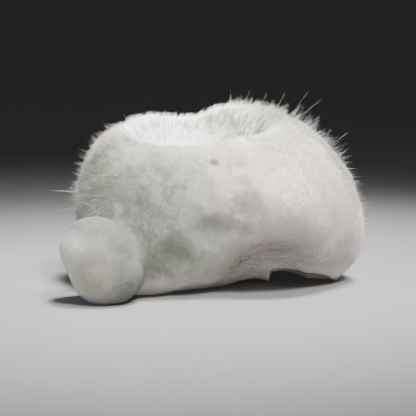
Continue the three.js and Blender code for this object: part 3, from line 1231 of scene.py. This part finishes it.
@dataclass
class ShortFuzz:
    """The short fuzz of the main ball, radiating from the growth centre, in three pieces round it."""

    form: Form
    count: int = 147000
    pieces: tuple[str, ...] = ("fuzz_left_front", "fuzz_right_front", "fuzz_back")
    radius: float = 0.024
    front_length: float = 0.36
    side_length: float = 0.6
    straggling_length: float = 0.32
    straggling_share: float = 0.12
    sunk: float = 0.1
    stray: float = 0.13
    swirl: float = 0.14
    swirl_size: float = 1.6
    pinhole_room: float = 0.9
    arch_room: float = 0.1

    def build(self, skin: FeltedSkin) -> None:
        """Builds and dresses the fuzz.

        Args:
            skin: the finished skin, on which the fuzz stands.
        """
        chance = np.random.default_rng(21)
        roots = self._roots(skin)
        rays = unit(roots - self.form.growth_centre)
        along = self._directions(roots, rays, chance)
        length = self._lengths(roots, rays) * chance.uniform(0.55, 1.25, len(roots))
        straggles = chance.exponential(1.0, len(roots))
        straggles *= chance.random(len(roots)) < self.straggling_share
        length += self._straggling(roots, rays) * straggles
        radii = self.radius * chance.uniform(0.7, 1.2, len(roots))
        fibres = Fibres(roots - along * self.sunk, roots + along * length[:, None], radii)
        clear_of_arch = self.form.underside(fibres.tips) > self.arch_room
        fibres = fibres.where((fibres.tips[:, 2] > FLOOR_ROOM) & clear_of_arch)
        from_centre = fibres.roots - self.form.growth_centre
        order = np.argsort(np.arctan2(from_centre[:, 1], from_centre[:, 0]))
        finish = FibreFinish("okenite fuzz", change=0.08).material()
        for name, part in zip(self.pieces, np.array_split(order, len(self.pieces))):
            fibres.where(part).shape().piece(name, finish)

    def _roots(self, skin: FeltedSkin) -> Array:
        """Where the fibres are rooted: all over the main ball, but for the crater and the pinhole.

        Args:
            skin: the finished skin.

        Returns:
            The places.
        """
        roots = skin.seeds((Region.BALL, Region.UNDERSIDE, Region.CRATER), self.count, 20)
        back = smooth_step(0.0, 4.0, roots[:, 1])
        clear = self.form.crater(roots) > -0.3 + 1.0 * back
        clear &= self.form.main(roots) > -1.1
        return roots[clear & (lengths(roots - self.form.pinhole.centre) > self.pinhole_room)]

    def _directions(self, roots: Array, rays: Array, chance: np.random.Generator) -> Array:
        """Which way the fibres stand: straight out, but combed along the broken face by the undercut.

        Args:
            roots: where they are rooted.
            rays: the directions to there from the growth centre.
            chance: where random numbers come from.

        Returns:
            The directions.
        """
        normal = outward(self.form.main, roots)
        swirl = np.stack([Noise(30 + axis).at(roots / self.swirl_size) for axis in range(3)], -1)
        stray = chance.normal(0, self.stray, roots.shape)
        combed = smooth_step(2.4, 0.3, self.form.undercut.distance(roots))[:, None]
        fan_rays = unit(roots - self.form.underside_fan.centre)
        flat = unit(fan_rays - normal * (fan_rays * normal).sum(-1, keepdims=True))
        standing = (rays + normal) * 0.6 * (1 - 0.75 * combed)
        return unit(standing + flat * combed + stray + swirl * self.swirl)

    def _straggling(self, roots: Array, rays: Array) -> Array:
        """How much longer the few straggling hairs are, on the sides, the back and the crest.

        Args:
            roots: where the fibres are rooted.
            rays: the directions to there from the growth centre.

        Returns:
            The mean added length at each root.
        """
        open_side = smooth_step(-0.35, 0.0, rays[:, 1]) * smooth_step(1.5, 4.0, roots[:, 2])
        return self.straggling_length * open_side * smooth_step(0.8, 2.0, self.form.crater(roots))

    def _lengths(self, roots: Array, rays: Array) -> Array:
        """How long the fuzz is: short on the felted front and beside the broken faces.

        Args:
            roots: where the fibres are rooted.
            rays: the directions to there from the growth centre.

        Returns:
            The mean length at each root.
        """
        open_side = smooth_step(-0.45, 0.2, rays[:, 1])
        length = self.front_length + (self.side_length - self.front_length) * open_side
        length *= 0.3 + 0.7 * smooth_step(0.3, 2.2 + 1.4 * open_side, self.form.crater(roots))
        return length * (0.75 + 0.25 * smooth_step(0.5, 4.0, roots[:, 2]))


@dataclass
class Velvet:
    """The very short pile of the small ball."""

    form: Form
    count: int = 15000
    length: float = 0.16
    radius: float = 0.02
    sunk: float = 0.06
    stray: float = 0.3

    def build(self, skin: FeltedSkin) -> None:
        """Builds and dresses the pile.

        Args:
            skin: the finished skin, on which the pile stands.
        """
        chance = np.random.default_rng(41)
        roots = skin.seeds((Region.SMALL_BALL,), self.count, 40)
        along = unit(outward(self.form.small, roots) + chance.normal(0, self.stray, roots.shape))
        length = self.length * chance.uniform(0.5, 1.3, (len(roots), 1))
        radii = np.full(len(roots), self.radius)
        fibres = Fibres(roots - along * self.sunk, roots + along * length, radii)
        fibres = fibres.where(fibres.tips[:, 2] > FLOOR_ROOM)
        finish = FibreFinish("okenite velvet", lightness=0.04, change=0.12).material()
        fibres.shape().piece("small_ball_velvet", finish)


@dataclass
class BrokenFace:
    """The silky fibres of a broken face, which lie along it and spread from the fan's hidden centre."""

    form: Form
    name: str
    region: Region
    fan: Fan
    count: int
    shortest: float
    longest: float
    radius: float
    lift: float
    over_rim: tuple[float, float, float]
    room: Distance
    finish: FibreFinish
    seed: int
    bundle: int = 11
    gather: float = 0.1
    stray: float = 0.045
    swirl: float = 0.06
    swirl_size: float = 1.2
    sunk: float = 0.12
    past_rim: float = 0.9
    trims: int = 10
    trimmed_to: float = 0.84
    lowest_tip: float = 0.05
    small_ball_room: float = 0.1
    least_length: float = 0.15

    def build(self, skin: FeltedSkin) -> None:
        """Builds and dresses the fibres, which are trimmed until they stay within the face's room.

        Args:
            skin: the finished skin, on which the fibres lie.
        """
        chance = np.random.default_rng(self.seed)
        bundles = self._bundles(skin, chance)
        places, along, into_room, length = (np.repeat(one, self.bundle, 0) for one in bundles)
        places = places + chance.normal(0, self.gather, places.shape)
        along = unit(along + chance.normal(0, self.stray, along.shape))
        length = length * chance.uniform(0.55, 1.1, len(length))
        roots = places - into_room * self.sunk - along * (0.25 * length)[:, None]
        over = self._overhang(roots) * chance.uniform(0.2, 1.6, len(roots))
        for _ in range(self.trims):
            tips = roots + along * length[:, None]
            past = (self.form.main(tips) > over) | (self.room(tips) > self.past_rim)
            length = np.where(past, length * self.trimmed_to, length)
        tips = roots + along * length[:, None]
        fibres = Fibres(roots, tips, self.radius * chance.uniform(0.6, 1.5, len(roots)))
        clear = (tips[:, 2] > self.lowest_tip) & (self.form.small(tips) > self.small_ball_room)
        fibres = fibres.where(clear & (length > self.least_length))
        fibres.shape().piece(self.name, self.finish.material())

    def _bundles(
        self,
        skin: FeltedSkin,
        chance: np.random.Generator,
    ) -> tuple[Array, Array, Array, Array]:
        """Strews bundles of fibres over the face.

        Args:
            skin: the finished skin.
            chance: where random numbers come from.

        Returns:
            Each bundle's place, its direction, the way into the room there, and its length.
        """
        places = skin.seeds((self.region,), self.count // self.bundle, self.seed)
        into_room = outward(self.form.skin, places, 0.3)
        along = unit(places - self.fan.centre)
        along = unit(along - into_room * (along * into_room).sum(-1, keepdims=True) * 0.9)
        swirl = np.stack([Noise(60 + axis).at(places / self.swirl_size) for axis in range(3)], -1)
        lift = self.lift * chance.uniform(0.1, 1.8, (len(places), 1))
        along = unit(along + into_room * lift + swirl * self.swirl)
        return places, along, into_room, chance.uniform(self.shortest, self.longest, len(places))

    def _overhang(self, roots: Array) -> Array:
        """How far past the main ball's own form the fibres may reach.

        Args:
            roots: where they are rooted.

        Returns:
            The mean reach at each root.
        """
        front, left, right = self.over_rim
        over = left + (right - left) * smooth_step(-1.0, 6.0, roots[:, 0])
        return front + (over - front) * smooth_step(-2.0, 3.0, roots[:, 1])


@dataclass(frozen=True)
class LongWhisker:
    """One of the longest whiskers: its direction from the growth centre, its length and its lean."""

    azimuth: float
    elevation: float
    length: float
    lean: float


@dataclass
class Whiskers:
    """The whiskers that stand out past the fuzz, in tufts, with finer ones strewn between them."""

    form: Form
    places: int = 300
    lean: float = 0.7
    lowest: float = 3.2
    clear_of_breaks: float = 0.35
    crest: float = 2.4
    left_crest: float = 0.9
    left_side: float = 2.0
    right_side: float = 1.3
    back: float = 1.8
    tuft: int = 2
    strewn: int = 1900
    radius: float = 0.015
    sunk: float = 0.6
    longest: tuple[LongWhisker, ...] = (
        LongWhisker(1, 50, 4.6, 6),
        LongWhisker(4, 47, 4.8, -8),
        LongWhisker(-6, 58, 3.4, 4),
        LongWhisker(5, 27, 3.6, 10),
        LongWhisker(181, 6, 3.8, -4),
        LongWhisker(184, 0, 3.6, -14),
    )

    def build(self) -> None:
        """Builds and dresses the whiskers."""
        finish = FibreFinish("okenite whisker", lightness=0.5, roughness=0.4, change=0.15).material()
        self._fibres(*self._tufts()).shape(bend=0.05).piece("whisker_tufts", finish)
        self._fibres(*self._strewn()).shape().piece("fine_whiskers", finish)

    def _fibres(self, tips: Array, along: Array, length: Array) -> Fibres:
        """Whiskers that are rooted in the fuzz and stand out past its tips."""
        radii = self.radius * (0.7 + 0.6 * scatter(np.arange(len(tips)), 17))
        return Fibres(tips - along * self.sunk, tips + along * length[:, None], radii)

    @staticmethod
    def _directions(count: int) -> Array:
        """Directions spread evenly round the growth centre on a spiral.

        Args:
            count: how many there are.

        Returns:
            The directions.
        """
        index = np.arange(count)
        rise = 1 - 2 * (index + 0.5) / count
        level = np.sqrt(1 - rise * rise)
        turn = index * GOLDEN_ANGLE
        return np.stack([level * np.cos(turn), level * np.sin(turn), rise], -1)

    def _reach(self, points: Array, directions: Array) -> Array:
        """How long whiskers grow at places of the ball.

        Args:
            points: the places, at the fuzz's tips.
            directions: the directions to there from the growth centre.

        Returns:
            The mean length at each place, 0 where there are no whiskers.
        """
        x, y, z = directions.T
        length = np.where(x > 0, self.right_side, self.left_side)
        length = np.where(y > 0.5, self.back, length)
        length = np.where(z > 0.3, self.left_crest, length)
        length = np.where((z > 0.35) & (x > 0.1), self.crest, length)
        broken = np.minimum(self.form.crater(points), self.form.undercut.distance(points))
        broken = np.minimum(broken, self.form.small(points))
        bare = (points[:, 2] < self.lowest) | (broken < self.clear_of_breaks) | (y < -0.45)
        return np.where(bare, 0, length)

    def _tufts(self) -> tuple[Array, Array, Array]:
        """The whiskers of the tufts: where each leaves the fuzz, its direction and its length."""
        directions = self._directions(self.places)
        tips = surface_points(self.form.main, self.form.growth_centre, directions)
        index = np.arange(self.places)
        length = self._reach(tips, directions) * (0.5 + 0.9 * scatter(index, 4))
        lean = np.stack([scatter(index, salt) for salt in (5, 6, 7)], -1) - 0.5
        along = unit(directions + lean * self.lean)
        rays = np.array([from_angles(one.azimuth, one.elevation) for one in self.longest])
        leant = np.array([from_angles(one.azimuth, one.elevation + one.lean) for one in self.longest])
        tips, along, length = (np.repeat(one[length > 0], self.tuft, 0) for one in (tips, along, length))
        chance = np.random.default_rng(51)
        first = np.arange(len(tips)) % self.tuft == 0
        spread = np.where(first[:, None], 0.0, chance.normal(0, 0.16, along.shape))
        moved = unit(tips + chance.normal(0, 1.1, tips.shape) - self.form.growth_centre)
        moved = np.where(first[:, None], unit(tips - self.form.growth_centre), moved)
        tips = surface_points(self.form.main, self.form.growth_centre, moved)
        shorter = np.where(first, 1.0, chance.uniform(0.3, 0.85, len(length)))
        shorter = np.where(self._reach(tips, moved) > 0, shorter, 0)
        far_tips = surface_points(self.form.main, self.form.growth_centre, rays)
        far_length = np.array([one.length for one in self.longest])
        kept = shorter > 0
        return (
            np.concatenate([tips[kept], far_tips]),
            np.concatenate([unit(along + spread)[kept], leant]),
            np.concatenate([(length * shorter)[kept], far_length]),
        )

    def _strewn(self) -> tuple[Array, Array, Array]:
        """Finer whiskers between the tufts, in the same form."""
        chance = np.random.default_rng(52)
        directions = unit(chance.normal(0, 1, (self.strewn * 6, 3)))
        tips = surface_points(self.form.main, self.form.growth_centre, directions)
        reach = self._reach(tips, directions)
        grow = np.flatnonzero(reach > self.crest * chance.random(len(reach)))[: self.strewn]
        along = unit(directions[grow] + chance.normal(0, 0.17, (len(grow), 3)))
        return tips[grow], along, reach[grow] * (0.15 + 0.85 * chance.random(len(grow)) ** 1.8)


@dataclass
class Studio:
    """A pale floor, soft lights and the camera."""

    eye: Triple = (-0.00041, -0.22774, 0.04017)
    look_down: float = 7.57
    lens: float = 152.83
    sensor: float = 36.0
    floor_half: float = 3.0
    floor_level: float = -0.00002

    def build(self) -> None:
        """Builds the floor, the lights and the camera."""
        self._floor()
        self._light("key light", (0.11, -0.13, 0.265), 0.13, 0.110, (1.0, 0.955, 0.92), 20)
        self._light("left fill", (-0.26, -0.16, 0.14), 0.18, 0.030, (0.95, 1.0, 0.97), 28)
        self._light("top light", (0.06, 0.02, 0.27), 0.11, 0.146, (1.0, 0.99, 0.98), 20)
        self._light("low fill", (0.03, -0.25, 0.025), 0.12, 0.0215, (1.0, 0.97, 0.95), 28)
        self._world((0.62, 0.63, 0.64), 0.095)
        self._camera()

    def _floor(self) -> None:
        """A plain pale floor just under the specimen."""
        mesh = bpy.data.meshes.new("floor")
        turns = ((-1, -1), (1, -1), (1, 1), (-1, 1))
        corners = [(x * self.floor_half, y * self.floor_half, self.floor_level) for x, y in turns]
        mesh.from_pydata(corners, [], [(0, 1, 2, 3)])
        recipe = Recipe("pale floor")
        spot = Term(recipe, recipe.node("ShaderNodeTexCoord").outputs["Object"])
        colour = recipe.mix(recipe.noise(spot, 300.0, 3.0), (0.20, 0.20, 0.205), (0.22, 0.22, 0.225))
        mesh.materials.append(recipe.finish({"Base Color": colour, "Roughness": 0.55}))
        floor = bpy.data.objects.new("floor", mesh)
        bpy.context.scene.collection.objects.link(floor)

    @staticmethod
    def _light(
        name: str,
        place: Triple,
        size: float,
        power: float,
        colour: Colour,
        spread: float,
    ) -> None:
        """Adds a soft square light that faces the specimen.

        Args:
            name: the light's name.
            place: its place in metres.
            size: its side in metres.
            power: its power in watts.
            colour: its colour.
            spread: how wide its beam is, in degrees.
        """
        light = bpy.data.lights.new(name, "AREA")
        light.size, light.energy, light.color = size, power, colour
        light.spread = math.radians(spread)
        made = bpy.data.objects.new(name, light)
        made.location = place
        made.rotation_euler = (Vector((0, 0, 0.01)) - Vector(place)).to_track_quat("-Z", "Y").to_euler()
        bpy.context.scene.collection.objects.link(made)

    @staticmethod
    def _world(colour: Colour, strength: float) -> None:
        """Adds a soft, even light from all round.

        Args:
            colour: its colour.
            strength: how strong it is.
        """
        world = bpy.data.worlds.new("soft room")
        world.use_nodes = True
        background = world.node_tree.nodes["Background"]
        background.inputs["Color"].default_value = (*colour, 1)
        background.inputs["Strength"].default_value = strength
        bpy.context.scene.world = world

    def _camera(self) -> None:
        """The camera, level from side to side and looking slightly down at the front."""
        lens = bpy.data.cameras.new("camera")
        lens.lens, lens.sensor_width, lens.sensor_fit = self.lens, self.sensor, "HORIZONTAL"
        lens.clip_start, lens.clip_end = 0.01, 20.0
        camera = bpy.data.objects.new("camera", lens)
        camera.location = self.eye
        camera.rotation_euler = (math.radians(90 - self.look_down), 0, 0)
        bpy.context.scene.collection.objects.link(camera)
        bpy.context.scene.camera = camera


def main() -> None:
    """Builds the specimen and its studio."""
    logging.basicConfig(level=logging.INFO, format="%(name)s: %(message)s")
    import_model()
    form = Form()
    skin = FeltedSkin(form)
    skin.build()
    ShortFuzz(form).build(skin)
    Velvet(form).build(skin)
    BrokenFace(
        form,
        name="crater_fibres",
        region=Region.CRATER,
        fan=form.crater_fan,
        count=27000,
        shortest=1.4,
        longest=4.4,
        radius=0.028,
        lift=0.1,
        over_rim=(0.3, 0.25, 0.6),
        room=form.crater,
        finish=FibreFinish("okenite silk", roughness=0.35, change=0.06, fan=form.crater_fan, silky=True),
        seed=70,
    ).build(skin)
    BrokenFace(
        form,
        name="underside_fibres",
        region=Region.UNDERSIDE,
        fan=form.underside_fan,
        count=4500,
        shortest=0.6,
        longest=1.8,
        radius=0.024,
        lift=0.06,
        over_rim=(0.4, 0.4, 0.4),
        room=form.undercut.distance,
        finish=FibreFinish(
            "okenite shade",
            change=0.1,
            fan=form.underside_fan,
            streaks=(0.35, 0.31, 0.275),
        ),
        seed=80,
    ).build(skin)
    Whiskers(form).build()
    LOG.info("the specimen is complete")
    Studio().build()


if __name__ == "__main__":
    main()
